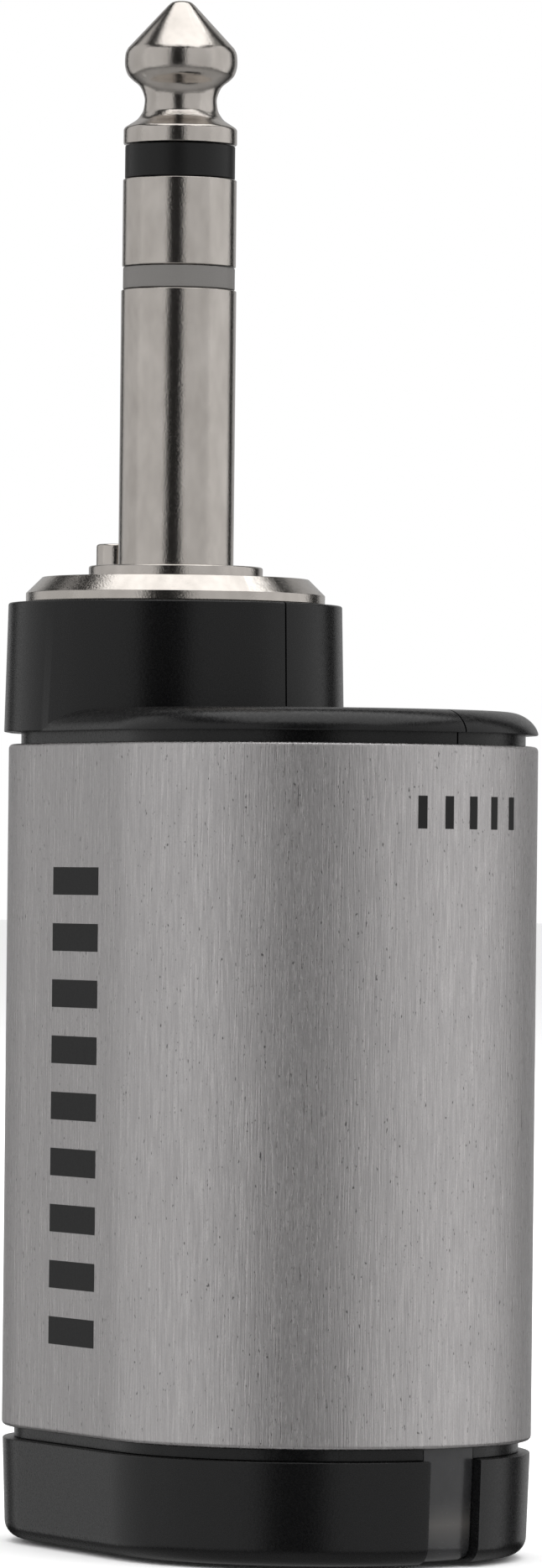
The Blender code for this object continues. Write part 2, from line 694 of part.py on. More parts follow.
def build_lead(name, points, radius, material):
    curve = bpy.data.curves.new(name, "CURVE")
    curve.dimensions = "3D"
    curve.bevel_depth = radius
    curve.bevel_resolution = 2
    curve.use_fill_caps = True
    route = smooth_route(points, 4)
    spline = curve.splines.new("POLY")
    spline.points.add(len(route) - 1)
    for spot, point in zip(route, spline.points):
        point.co = (spot[0] * MM, spot[1] * MM, spot[2] * MM, 1.0)
    curve.materials.append(material)
    lead = bpy.data.objects.new(name, curve)
    bpy.context.scene.collection.objects.link(lead)
    return lead


def build_leads(red, white, black):
    """Short leads, in millimetres: three from the plug's lugs, two from the cell."""
    below = -0.4
    ground = GROUND_LUG_Z / MM + below
    ring = RING_LUG_Z / MM + below
    tip = TIP_LUG_Z / MM + below
    cell = (CELL_CENTRE[2] + CELL_SIZE[2] / 2.0) / MM
    plug = PLUG_X / MM
    routes = {
        "ground_lead": (black, ((plug + 5.5, 0.0, ground), (plug + 5.7, -0.2, ground - 2.0),
                                (0.2, -0.4, 45.0), (1.6, 0.3, 42.6), (1.8, 0.6, 40.2))),
        "ring_lead": (white, ((plug + 4.3, 0.0, ring), (plug + 4.5, -0.2, ring - 1.0),
                              (-1.6, -0.2, 43.8), (-0.8, 0.4, 42.3), (-0.7, 0.6, 40.2))),
        "tip_lead": (red, ((plug + 3.1, 0.0, tip), (plug + 3.2, 0.0, tip - 0.6),
                           (-3.6, 0.2, 42.9), (-3.3, 0.5, 41.8), (-3.2, 0.6, 40.2))),
    }
    for name, x, material in (("battery_lead_red", 5.3, red), ("battery_lead_black", 6.9, black)):
        routes[name] = (material, ((x, -3.4, cell + 0.3), (x, -3.5, cell + 1.2),
                                   (x + 0.1, -3.0, cell + 2.3), (x + 0.1, -1.6, cell + 2.6)))
    for name, (material, points) in routes.items():
        build_lead(name, points, LEAD_RADIUS, material)


def main():
    clear_scene()
    nickel = make_material("nickel", (0.62, 0.58, 0.54), 0.22, 1.0)
    brass = make_material("brass", (0.7, 0.52, 0.25), 0.3, 1.0)
    steel = make_material("spring_steel", (0.5, 0.5, 0.5), 0.3, 1.0)
    brushed = make_material("brushed_metal", (0.5, 0.48, 0.46), 0.35, 1.0)
    black = make_material("black_plastic", (0.02, 0.02, 0.02), 0.4)
    collar_black = make_material("collar_black", (0.025, 0.025, 0.027), 0.45)
    collar_grey = make_material("collar_grey", (0.17, 0.17, 0.16), 0.5)
    smoky = make_material("smoky_clear", (0.09, 0.09, 0.09), 0.15, 0.0, 0.4)
    green = make_material("board_green", (0.02, 0.13, 0.06), 0.4)
    tin = make_material("tinned_steel", (0.6, 0.6, 0.58), 0.35, 1.0)
    foil = make_material("cell_foil", (0.55, 0.56, 0.58), 0.35, 1.0)
    foam = make_material("foam_tape", (0.05, 0.05, 0.05), 0.9)
    red = make_material("red_insulation", (0.5, 0.02, 0.02), 0.45)
    white = make_material("white_plastic", (0.75, 0.74, 0.7), 0.4)

    build_plug_tip(nickel)
    build_plug_contacts(nickel, collar_black, collar_grey)
    build_plug_sleeve(nickel)
    build_plug_washer(nickel)
    build_plug_nut(nickel)
    build_lugs(brass)
    build_housings(black)
    build_screws(steel)
    build_metal_sleeve(brushed)
    build_bottom_cap(black)
    build_light_pipe(smoky)
    build_sense_pin(nickel)
    build_pin_bush(brass)
    build_pin_spring(steel)
    build_switch(black)
    build_lever(steel)
    build_board(green, tin, black, brass, white)
    build_battery(foil, foam)
    build_leads(red, white, black)


main()
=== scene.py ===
import math

import bmesh
import bpy
from mathutils import Matrix, Vector


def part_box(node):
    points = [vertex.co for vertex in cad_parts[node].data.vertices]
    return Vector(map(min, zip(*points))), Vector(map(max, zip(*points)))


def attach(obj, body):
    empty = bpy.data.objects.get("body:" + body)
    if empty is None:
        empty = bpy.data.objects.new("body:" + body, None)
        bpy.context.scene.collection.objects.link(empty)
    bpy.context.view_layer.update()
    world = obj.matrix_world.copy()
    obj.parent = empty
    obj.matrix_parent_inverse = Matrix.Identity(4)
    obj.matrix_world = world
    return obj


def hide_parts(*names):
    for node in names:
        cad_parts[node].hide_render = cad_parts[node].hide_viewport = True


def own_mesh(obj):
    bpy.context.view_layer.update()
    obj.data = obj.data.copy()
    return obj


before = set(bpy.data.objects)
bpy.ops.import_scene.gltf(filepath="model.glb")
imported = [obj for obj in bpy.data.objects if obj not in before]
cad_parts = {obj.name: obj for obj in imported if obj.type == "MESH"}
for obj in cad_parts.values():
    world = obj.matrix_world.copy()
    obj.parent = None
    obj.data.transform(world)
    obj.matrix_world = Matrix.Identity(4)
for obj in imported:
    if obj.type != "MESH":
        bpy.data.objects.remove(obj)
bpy.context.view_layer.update()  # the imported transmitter, which every piece below is fitted to
mm = 0.001
print("frame loaded:", len(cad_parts), "nodes")

sleeveLow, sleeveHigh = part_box("metal_sleeve")
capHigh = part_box("bottom_cap")[1]
washerLow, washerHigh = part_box("plug_washer")
contactLow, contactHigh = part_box("plug_sleeve")
tipLow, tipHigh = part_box("plug_tip")
pinLow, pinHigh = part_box("sense_pin")
plugX = (tipLow.x + tipHigh.x) / 2
pinX = (pinLow.x + pinHigh.x) / 2
pinY = (pinLow.y + pinHigh.y) / 2
plugTop = tipHigh.z
washerTop = washerHigh.z
blockTop = washerLow.z - 0.05 * mm
frontTipX = sleeveHigh.x

body = {
    "backRadius": 9.1 * mm,
    "frontRadius": 12.04 * mm,
    "spacing": 11.8 * mm,  # between the two round ends' centres
    "arcDegrees": 2.0,
}
frontX = plugX + body["spacing"]


def added(name, data):
    thing = bpy.data.objects.new(name, data)
    bpy.context.scene.collection.objects.link(thing)
    return thing


def circlePoints(steps=128):
    def points(radius):
        return [(radius * math.cos(2 * math.pi * i / steps), radius * math.sin(2 * math.pi * i / steps))
                for i in range(steps)]
    return points


def bodyPoints(inset):
    # two arcs; the sides between them touch both
    taper = math.degrees(math.asin((body["frontRadius"] - body["backRadius"]) / body["spacing"]))
    quarter = 90 + taper
    ends = ((frontX, body["frontRadius"] - inset, -quarter, quarter),
            (plugX, body["backRadius"] - inset, quarter, 360 - quarter))
    points = []
    for centreX, radius, start, end in ends:
        steps = round((end - start) / body["arcDegrees"])
        arc = []
        for i in range(steps + 1):
            angle = math.radians(start + (end - start) * i / steps)
            arc.append((centreX + radius * math.cos(angle), radius * math.sin(angle)))
        if points:
            points += sidePoints(points[-1], arc[0])
        points += arc
    return points + sidePoints(points[-1], points[0])


def sidePoints(start, end, count=9):
    return [tuple(start[k] + (end[k] - start[k]) * i / (count + 1) for k in (0, 1))
            for i in range(1, count + 1)]


def softened(corners, closed=False, steps=5):
    # rounds the (size, height, radius) corners of a profile, with a holding point each side
    result = []
    count = len(corners)
    for i, (size, height, radius) in enumerate(corners):
        here = Vector((size, height))
        if radius <= 0 or (not closed and i in (0, count - 1)):
            result.append((size, height))
            continue
        before = Vector(corners[i - 1][:2]) - here
        after = Vector(corners[(i + 1) % count][:2]) - here
        room = 0.42 * min(before.length, after.length)
        before.normalize()
        after.normalize()
        half = before.angle(after) / 2
        reach = min(radius / math.tan(half), room)
        radius = reach * math.tan(half)
        centre = here + (before + after).normalized() * (radius / math.sin(half))
        start = here + before * reach - centre
        turn = start.angle_signed(here + after * reach - centre)
        hold = 0.15 * reach
        result.append(tuple(here + before * (reach + hold)))
        for k in range(steps + 1):
            result.append(tuple(centre + Matrix.Rotation(-turn * k / steps, 2) @ start))
        result.append(tuple(here + after * (reach + hold)))
    return result


def shaped(name, made):
    mesh = bpy.data.meshes.new(name)
    made.to_mesh(mesh)
    made.free()
    return added(name, mesh)


def ringPiece(name, profile, outline, material, tube=False, centre=(0.0, 0.0), sharpAngle=40):
    made = bmesh.new()
    rings = [[made.verts.new((x + centre[0], y + centre[1], height)) for x, y in outline(size)]
             for size, height in profile]
    pairs = list(zip(rings, rings[1:]))
    if tube:
        pairs.append((rings[-1], rings[0]))
    else:
        made.faces.new(rings[0])
        made.faces.new(rings[-1])
    for low, high in pairs:
        for i in range(len(low)):
            j = (i + 1) % len(low)
            made.faces.new((low[i], low[j], high[j], high[i]))
    bmesh.ops.recalc_face_normals(made, faces=made.faces)
    piece = shaped(name, made)
    if material:
        piece.data.materials.append(material)
    smoothed(piece, sharpAngle)
    return piece


def smoothed(piece, sharpAngle=40):
    piece.data.shade_smooth()
    piece.data.set_sharp_from_angle(angle=math.radians(sharpAngle))


def blockPiece(name, low, high):
    made = bmesh.new()
    bmesh.ops.create_cube(made, size=1)
    for corner in made.verts:
        corner.co = [low[i] + (high[i] - low[i]) * (corner.co[i] + 0.5) for i in range(3)]
    return shaped(name, made)


def rodAlongY(name, radius, lowY, highY, x, z):
    piece = ringPiece(name, [(radius, lowY), (radius, highY)], circlePoints(48), None)
    piece.data.transform(Matrix.Translation((x, 0, z)) @ Matrix.Rotation(-math.pi / 2, 4, "X"))
    return piece


def carved(piece, tool, operation="DIFFERENCE"):
    step = piece.modifiers.new("carve", "BOOLEAN")
    step.object = tool
    step.operation = operation
    step.solver = "EXACT"
    shape = bpy.data.meshes.new_from_object(piece.evaluated_get(bpy.context.evaluated_depsgraph_get()))
    piece.modifiers.clear()
    piece.data = shape
    tidy = bmesh.new()
    tidy.from_mesh(shape)
    bmesh.ops.remove_doubles(tidy, verts=tidy.verts, dist=0.001 * mm)
    bmesh.ops.dissolve_degenerate(tidy, edges=tidy.edges, dist=0.001 * mm)
    tidy.to_mesh(shape)
    tidy.free()
    if not shape.polygons:  # a cut that fails leaves nothing and says nothing
        raise ValueError(piece.name + " lost its faces when cut by " + tool.name)
    bpy.data.objects.remove(tool, do_unlink=True)
    return piece


def painted(piece, material):
    piece.data.materials.clear()
    piece.data.materials.append(material)


def placed(piece, nodes, bodyName="transmitter"):
    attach(piece, bodyName)
    if nodes:
        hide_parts(*nodes)
    return piece


def nodesMesh(name, tree, values, start=None):
    # runs a Geometry Nodes tree on a start mesh and keeps the plain result
    holder = added(name + "Holder", start or bpy.data.meshes.new(name + "Holder"))
    step = holder.modifiers.new("step", "NODES")
    step.node_group = tree
    ids = {item.name: item.identifier for item in tree.interface.items_tree if item.in_out == "INPUT"}
    for label, value in values.items():
        step[ids[label]] = value
    mesh = bpy.data.meshes.new_from_object(holder.evaluated_get(bpy.context.evaluated_depsgraph_get()))
    bpy.data.objects.remove(holder, do_unlink=True)
    return turnedOut(added(name, mesh))


def turnedOut(piece):
    # faces outwards and smooth
    made = bmesh.new()
    made.from_mesh(piece.data)
    bmesh.ops.recalc_face_normals(made, faces=made.faces)
    made.to_mesh(piece.data)
    made.free()
    smoothed(piece)
    return piece


def newTree(name, inputs):
    tree = bpy.data.node_groups.new(name, "GeometryNodeTree")
    for label, kind in inputs:
        tree.interface.new_socket(label, in_out="INPUT", socket_type="NodeSocket" + kind)
    tree.interface.new_socket("Geometry", in_out="OUTPUT", socket_type="NodeSocketGeometry")
    return tree, tree.nodes.new("NodeGroupInput").outputs, tree.nodes.new("NodeGroupOutput")


def finishTree(tree, shape, finish, out):
    # what every tree ends in
    real = tree.nodes.new("GeometryNodeRealizeInstances")
    tree.links.new(shape, real.inputs[0])
    coated = tree.nodes.new("GeometryNodeSetMaterial")
    tree.links.new(real.outputs[0], coated.inputs["Geometry"])
    tree.links.new(finish, coated.inputs["Material"])
    tree.links.new(coated.outputs[0], out.inputs[0])


def newGroup(name, inputs, outputs):
    group = bpy.data.node_groups.new(name, "ShaderNodeTree")
    for label, value in inputs:
        socket = group.interface.new_socket(label, in_out="INPUT", socket_type="NodeSocketFloat")
        socket.default_value = value
    for label in outputs:
        group.interface.new_socket(label, in_out="OUTPUT", socket_type="NodeSocketFloat")
    return group, group.nodes.new("NodeGroupInput"), group.nodes.new("NodeGroupOutput")


def mathNode(tree, operation, first, second=None, clamp=False):
    node = tree.nodes.new("ShaderNodeMath")
    node.operation = operation
    node.use_clamp = clamp
    for i, value in enumerate((first, second)):
        if value is None:
            continue
        if isinstance(value, (int, float)):
            node.inputs[i].default_value = value
        else:
            tree.links.new(value, node.inputs[i])
    return node.outputs[0]


def makeGrain():
    # noise whose size is set apart across the piece and along its height
    group, given, out = newGroup("fineGrain", (("Across", 4000), ("Along", 4000), ("Detail", 3),
                                               ("Spread", 0.25)), ("Mask",))
    place = group.nodes.new("ShaderNodeTexCoord")
    scale = group.nodes.new("ShaderNodeCombineXYZ")
    for socket, label in (("X", "Across"), ("Y", "Across"), ("Z", "Along")):
        group.links.new(given.outputs[label], scale.inputs[socket])
    stretched = group.nodes.new("ShaderNodeVectorMath")
    stretched.operation = "MULTIPLY"
    group.links.new(place.outputs["Object"], stretched.inputs[0])
    group.links.new(scale.outputs[0], stretched.inputs[1])
    noise = group.nodes.new("ShaderNodeTexNoise")
    noise.inputs["Scale"].default_value = 1
    noise.inputs["Roughness"].default_value = 0.6
    group.links.new(stretched.outputs[0], noise.inputs["Vector"])
    group.links.new(given.outputs["Detail"], noise.inputs["Detail"])
    spread = group.nodes.new("ShaderNodeMapRange")
    for label, operation in (("From Min", "SUBTRACT"), ("From Max", "ADD")):
        group.links.new(mathNode(group, operation, 0.5, given.outputs["Spread"]), spread.inputs[label])
    group.links.new(noise.outputs[0], spread.inputs["Value"])
    group.links.new(spread.outputs[0], out.inputs["Mask"])
    return group


def makeWear(grain):
    # bright rubbed edges, broken up so that they aren't even
    group, given, out = newGroup("edgeWear", (("Start", 0.52), ("End", 0.62), ("Break", 2500)), ("Mask",))
    geometry = group.nodes.new("ShaderNodeNewGeometry")
    edge = group.nodes.new("ShaderNodeMapRange")
    group.links.new(geometry.outputs["Pointiness"], edge.inputs["Value"])
    group.links.new(given.outputs["Start"], edge.inputs["From Min"])
    group.links.new(given.outputs["End"], edge.inputs["From Max"])
    broken = group.nodes.new("ShaderNodeGroup")
    broken.node_tree = grain
    group.links.new(given.outputs["Break"], broken.inputs["Across"])
    group.links.new(given.outputs["Break"], broken.inputs["Along"])
    shown = mathNode(group, "MULTIPLY", edge.outputs[0], broken.outputs["Mask"], True)
    group.links.new(shown, out.inputs["Mask"])
    return group


def makeDust(grain):
    # a little dust on what faces up
    group, given, out = newGroup("settledDust", (("Amount", 0.2), ("Fleck", 5000)), ("Mask",))
    geometry = group.nodes.new("ShaderNodeNewGeometry")
    split = group.nodes.new("ShaderNodeSeparateXYZ")
    group.links.new(geometry.outputs["Normal"], split.inputs[0])
    up = mathNode(group, "POWER", mathNode(group, "MAXIMUM", split.outputs["Z"], 0.0), 3.0)
    fleck = group.nodes.new("ShaderNodeGroup")
    fleck.node_tree = grain
    for label in ("Across", "Along"):
        group.links.new(given.outputs["Fleck"], fleck.inputs[label])
    specks = mathNode(group, "POWER", fleck.outputs["Mask"], 3.0)
    shown = mathNode(group, "MULTIPLY", up, specks)
    group.links.new(mathNode(group, "MULTIPLY", shown, given.outputs["Amount"], True), out.inputs["Mask"])
    return group


grainGroup = makeGrain()
wearGroup = makeWear(grainGroup)
dustGroup = makeDust(grainGroup)


class Finish:
    # a Principled material that layers are added to
    def __init__(self, name, color, roughness, **constants):
        self.material = bpy.data.materials.new(name)
        self.material.use_nodes = True
        self.tree = self.material.node_tree
        self.shader = self.tree.nodes["Principled BSDF"]
        self.shader.inputs["Base Color"].default_value = (*color, 1)
        self.shader.inputs["Roughness"].default_value = roughness
        for label, value in constants.items():
            self.shader.inputs[label.replace("_", " ")].default_value = value
        self.color = None
        self.base = color

    def group(self, tree, **values):
        node = self.tree.nodes.new("ShaderNodeGroup")
        node.node_tree = tree
        for label, value in values.items():
            node.inputs[label].default_value = value
        return node.outputs["Mask"]

    def tint(self, mask, color):
        # lays a color over the base where the mask is
        mix = self.tree.nodes.new("ShaderNodeMix")
        mix.data_type = "RGBA"
        self.tree.links.new(mask, mix.inputs[0])
        if self.color:
            self.tree.links.new(self.color, mix.inputs[6])
        else:
            mix.inputs[6].default_value = (*self.base, 1)
        mix.inputs[7].default_value = (*color, 1)
        self.color = mix.outputs[2]
        self.tree.links.new(self.color, self.shader.inputs["Base Color"])

    def vary(self, mask, low, high):
        spread = self.tree.nodes.new("ShaderNodeMapRange")
        spread.inputs["To Min"].default_value = low
        spread.inputs["To Max"].default_value = high
        self.tree.links.new(mask, spread.inputs["Value"])
        self.tree.links.new(spread.outputs[0], self.shader.inputs["Roughness"])

    def relief(self, mask, depth):
        bump = self.tree.nodes.new("ShaderNodeBump")
        bump.inputs["Distance"].default_value = depth
        self.tree.links.new(mask, bump.inputs["Height"])
        self.tree.links.new(bump.outputs[0], self.shader.inputs["Normal"])


nickelLook = {"color": (0.63, 0.59, 0.55), "shade": (0.5, 0.465, 0.43), "edge": (0.82, 0.78, 0.73),
              "grain": 9000, "depth": 0.0042 * mm}


def makeNickel():
    finish = Finish("satinNickel", nickelLook["color"], 0.15, Metallic=1.0)
    speck = finish.group(grainGroup, Across=nickelLook["grain"], Along=nickelLook["grain"], Detail=4)
    drift = finish.group(grainGroup, Across=700, Along=350, Detail=2)
    wear = finish.group(wearGroup, Start=0.53, End=0.66, Break=3000)
    finish.tint(drift, nickelLook["shade"])
    finish.tint(wear, nickelLook["edge"])
    finish.vary(speck, 0.1, 0.2)
    finish.relief(speck, nickelLook["depth"])
    return finish.material


alloyLook = {
    "color": (0.675, 0.655, 0.65),
    "dark": (0.4, 0.385, 0.388),
    "streak": (0.46, 0.445, 0.447),
    "pit": (0.16, 0.155, 0.155),
    "edge": (0.86, 0.84, 0.82),
    "fibre": 13000,
    "run": 480,
    "streakWidth": 3800,
    "streakRun": 75,
    "fibreTone": 0.62,
    "streakTone": 0.45,
    "speckTone": 0.3,
    "pitRarity": 22.0,
    "depth": 0.009 * mm,
}


def makeAlloy():
    finish = Finish("brushedAlloy", alloyLook["color"], 0.3, Metallic=1.0, Anisotropic=0.45)
    fibres = finish.group(grainGroup, Across=alloyLook["fibre"], Along=alloyLook["run"],
                          Detail=5, Spread=0.15)
    streaks = finish.group(grainGroup, Across=alloyLook["streakWidth"], Along=alloyLook["streakRun"],
                           Detail=4, Spread=0.16)
    speck = finish.group(grainGroup, Across=16000, Along=9000, Detail=2, Spread=0.16)
    pits = finish.group(grainGroup, Across=8000, Along=3200, Detail=1, Spread=0.25)
    wear = finish.group(wearGroup, Start=0.59, End=0.72, Break=6000)
    finish.tint(mathNode(finish.tree, "MULTIPLY", fibres, alloyLook["fibreTone"]), alloyLook["dark"])
    finish.tint(mathNode(finish.tree, "MULTIPLY", streaks, alloyLook["streakTone"]), alloyLook["streak"])
    finish.tint(mathNode(finish.tree, "MULTIPLY", speck, alloyLook["speckTone"]), alloyLook["dark"])
    finish.tint(mathNode(finish.tree, "POWER", pits, alloyLook["pitRarity"]), alloyLook["pit"])
    finish.tint(wear, alloyLook["edge"])
    finish.vary(fibres, 0.25, 0.37)
    finish.relief(fibres, alloyLook["depth"])
    return finish.material


mouldingLook = {"color": (0.0028, 0.0028, 0.003), "worn": (0.02, 0.02, 0.021), "dust": (0.3, 0.29, 0.28),
                "grain": 7000, "depth": 0.003 * mm}


def makeMoulding(name, color, worn, roughness):
    finish = Finish(name, color, roughness, Specular_IOR_Level=0.32)
    texture = finish.group(grainGroup, Across=mouldingLook["grain"], Along=mouldingLook["grain"], Detail=3)
    wear = finish.group(wearGroup, Start=0.53, End=0.65, Break=2200)
    dust = finish.group(dustGroup, Amount=0.12, Fleck=5000)
    finish.tint(wear, worn)
    finish.tint(dust, mouldingLook["dust"])
    finish.vary(texture, roughness - 0.06, roughness + 0.08)
    finish.relief(texture, mouldingLook["depth"])
    return finish.material


def makePlain(name, color, shade, roughness, grain=3000, depth=0.001 * mm, **constants):
    # inner parts: a tone that drifts, and a fine surface
    finish = Finish(name, color, roughness, **constants)
    texture = finish.group(grainGroup, Across=grain, Along=grain, Detail=3)
    finish.tint(texture, shade)
    finish.vary(texture, max(roughness - 0.07, 0.05), roughness + 0.08)
    finish.relief(texture, depth)
    return finish.material


# the glow colour and its height and reach are painted light: a lighter band painted into the window's
# colour, not a lamp
windowLook = {"color": (0.026, 0.026, 0.027), "shade": (0.015, 0.015, 0.016),
              "paintedGlow": (0.056, 0.053, 0.05), "paintedGlowHeight": 2.1 * mm, "paintedGlowReach": 1.5 * mm}


def makeWindow():
    finish = Finish("smokyWindow", windowLook["color"], 0.22, Transmission_Weight=0.12, IOR=1.49)
    cloud = finish.group(grainGroup, Across=450, Along=300, Detail=2)
    texture = finish.group(grainGroup, Across=6000, Along=6000, Detail=2)
    finish.tint(cloud, windowLook["shade"])
    place = finish.tree.nodes.new("ShaderNodeTexCoord")
    split = finish.tree.nodes.new("ShaderNodeSeparateXYZ")
    finish.tree.links.new(place.outputs["Object"], split.inputs[0])
    above = mathNode(finish.tree, "SUBTRACT", split.outputs["Z"], windowLook["paintedGlowHeight"])
    away = mathNode(finish.tree, "ABSOLUTE", above)
    share = mathNode(finish.tree, "DIVIDE", away, windowLook["paintedGlowReach"])
    near = mathNode(finish.tree, "SUBTRACT", 1.0, share, True)
    finish.tint(mathNode(finish.tree, "POWER", near, 1.6), windowLook["paintedGlow"])  # painted glow: a lighter band painted into the window's colour in place of light from behind it
    finish.vary(texture, 0.18, 0.28)
    finish.relief(texture, 0.0008 * mm)
    return finish.material


nickel = makeNickel()
alloy = makeAlloy()
blackMoulding = makeMoulding("blackMoulding", mouldingLook["color"], mouldingLook["worn"], 0.25)
blackCollar = makeMoulding("blackCollar", (0.004, 0.004, 0.004), (0.02, 0.02, 0.02), 0.36)
greyCollar = makeMoulding("greyCollar", (0.118, 0.113, 0.108), (0.2, 0.195, 0.19), 0.42)
smokyWindow = makeWindow()
printInk = makePlain("printInk", (0.005, 0.005, 0.005), (0.009, 0.009, 0.009), 0.55, grain=8000,
                     Specular_IOR_Level=0.25)
brass = makePlain("machinedBrass", (0.7, 0.5, 0.22), (0.55, 0.38, 0.15), 0.28, Metallic=1.0)
steel = makePlain("plainSteel", (0.55, 0.55, 0.54), (0.42, 0.42, 0.41), 0.3, Metallic=1.0)
boardMask = makePlain("solderMask", (0.015, 0.11, 0.045), (0.01, 0.08, 0.03), 0.35, grain=1500)
whiteMoulding = makePlain("whiteMoulding", (0.72, 0.71, 0.67), (0.64, 0.63, 0.58), 0.4)
redWire = makePlain("redWire", (0.5, 0.02, 0.02), (0.38, 0.014, 0.014), 0.38)
foil = makePlain("cellFoil", (0.56, 0.57, 0.59), (0.44, 0.45, 0.47), 0.32, grain=900, depth=0.01 * mm,
                 Metallic=0.9)
foam = makePlain("foamTape", (0.04, 0.04, 0.042), (0.02, 0.02, 0.021), 0.85, grain=2500, depth=0.02 * mm)
slotLooks = {"nickel": nickel, "brass": brass, "steel": steel, "brushed_metal": alloy,
             "black_plastic": blackMoulding, "collar_black": blackCollar, "collar_grey": greyCollar,
             "smoky_clear": smokyWindow, "board": boardMask, "white_plastic": whiteMoulding,
             "red_insulation": redWire, "cell_foil": foil, "foam": foam}
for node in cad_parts.values():  # the inner parts keep their CAD shape
    painted(node, slotLooks[node.data.materials[0].name.split(".")[0]])
print("finishes made:", len(slotLooks) + 1)

plug = {
    "radius": 3.175 * mm,
    "tipLength": 8.0 * mm,
    "tipCollarEnd": 9.84 * mm,
    "ringEnd": 14.7 * mm,
    "ringCollarEnd": 15.95 * mm,
    "rodRadius": 0.9 * mm,
    "ringTube": (1.5 * mm, 1.9 * mm),
    "flangeRadius": 4.8 * mm,
    "flangeHeight": 0.65 * mm,
    "tailRadius": 3.0 * mm,
    "tipCollarInset": 0.14 * mm,  # how far this and the next two sit inside the plug's radius
    "ringInset": 0.04 * mm,
    "ringCollarInset": 0.09 * mm,
    "tipGap": 0.03 * mm,
    "tubeWall": 0.5 * mm,
    "edge": 0.06 * mm,
    "step": 0.7 * mm,
    "gap": 0.05 * mm,
}
tailBottom = contactLow.z
onPlug = (plugX, 0.0)


def smoothCurve(points, perSpan=6):
    # a rounded line through the (radius, depth) points of the tip
    result = []
    for i in range(len(points) - 1):
        a, b, c, d = (Vector(points[min(max(i + k, 0), len(points) - 1)]) for k in (-1, 0, 1, 2))
        for s in range(perSpan):
            t = s / perSpan
            result.append(tuple(0.5 * (2 * b + (c - a) * t + (2 * a - 5 * b + 4 * c - d) * t * t
                                       + (3 * b - a - 3 * c + d) * t ** 3)))
    return result + [tuple(points[-1])]


def makeTip():
    nose = [(0.08, 0.0), (0.36, 0.025), (0.56, 0.1), (0.74, 0.25)]
    bulge = [(2.93, 2.62), (3.06, 2.9), (3.105, 3.3), (3.08, 3.7), (2.94, 4.1), (2.68, 4.38), (2.34, 4.65),
             (2.15, 4.93), (2.03, 5.25), (1.99, 5.55), (2.06, 6.04), (2.2, 6.32), (2.42, 6.6), (2.78, 6.84),
             (3.05, 7.02), (3.13, 7.15)]
    line = smoothCurve(nose, 4) + smoothCurve(bulge, 4)
    line += [(3.13, 7.3), (3.13, 7.88), (3.11, 7.94), (3.06, 7.95)]
    profile = [(plug["rodRadius"], tipLow.z), (plug["rodRadius"], plugTop - plug["tipLength"] + plug["gap"])]
    profile += [(radius * mm, plugTop - depth * mm) for radius, depth in reversed(line)]
    return ringPiece("plugTip", profile, circlePoints(), nickel, centre=onPlug, sharpAngle=50)


def makeCollar(name, material, radius, top, bottom, tubeRadii, tail):
    inner, outer = tubeRadii
    edge = plug["edge"]
    corners = [(outer, tail, 0), (outer, bottom, 0), (radius, bottom, edge), (radius, top, edge),
               (inner, top, 0), (inner, tail, 0)]
    return ringPiece(name, softened(corners, True, 3), circlePoints(), material, True, onPlug)


def makePlug():
    inner, outer = plug["ringTube"]
    gap, step = plug["gap"], plug["step"]
    placed(makeTip(), ["plug_tip"])
    placed(makeCollar("tipInsulator", blackCollar, plug["radius"] - plug["tipCollarInset"],
                      plugTop - plug["tipLength"] - plug["tipGap"], plugTop - plug["tipCollarEnd"],
                      (plug["rodRadius"] + gap, inner - gap), tailBottom - 3 * step),
           ["tip_insulator"])
    placed(makeCollar("ringContact", nickel, plug["radius"] - plug["ringInset"],
                      plugTop - plug["tipCollarEnd"] - gap, plugTop - plug["ringEnd"],
                      (inner, outer), tailBottom - 2 * step),
           ["plug_ring"])
    placed(makeCollar("ringInsulator", greyCollar, plug["radius"] - plug["ringCollarInset"],
                      plugTop - plug["ringEnd"] - gap, plugTop - plug["ringCollarEnd"],
                      (outer + gap, outer + plug["tubeWall"]), tailBottom - step),
           ["ring_insulator"])
    top = contactHigh.z
    bore = outer + plug["tubeWall"] + gap
    flangeBottom = washerTop + gap
    flangeTop = washerTop + plug["flangeHeight"]
    corners = [(plug["tailRadius"], tailBottom, 0.1 * mm), (plug["tailRadius"], flangeBottom, 0),
               (plug["flangeRadius"], flangeBottom, 0.05 * mm), (plug["flangeRadius"], flangeTop, 0.12 * mm),
               (plug["radius"], flangeTop, 0.04 * mm), (plug["radius"], top, plug["edge"]),
               (bore, top, 0), (bore, tailBottom, 0)]
    placed(ringPiece("plugSleeve", softened(corners, True), circlePoints(), nickel, True, onPlug),
           ["plug_sleeve"])


makePlug()
print("plug made")

washer = {"radius": 8.25 * mm, "topRadius": 7.35 * mm, "edge": 0.5 * mm, "bore": 3.08 * mm,
          "pinHole": 1.25 * mm}


def makeWasher():
    low = washerLow.z
    corners = [(washer["radius"], low, 0.05 * mm), (washer["radius"], low + washer["edge"], 0.05 * mm),
               (washer["topRadius"], washerTop, 0.06 * mm), (washer["bore"], washerTop, 0.04 * mm),
               (washer["bore"], low, 0)]
    piece = ringPiece("bevelWasher", softened(corners, True), circlePoints(160), nickel, True, onPlug)
    hole = ringPiece("hole", [(washer["pinHole"], low - mm), (washer["pinHole"], washerTop + mm)],
                     circlePoints(64), None, centre=(pinX, pinY))
    carved(piece, hole)
    painted(piece, nickel)
    smoothed(piece)
    placed(piece, ["plug_washer"])


makeWasher()

pin = {"radius": 1.15 * mm, "collar": 1.6 * mm, "collarHeight": 0.6 * mm, "roof": 1.66 * mm,
       "drop": 0.35 * mm, "stem": 0.5 * mm, "edge": 0.16 * mm}


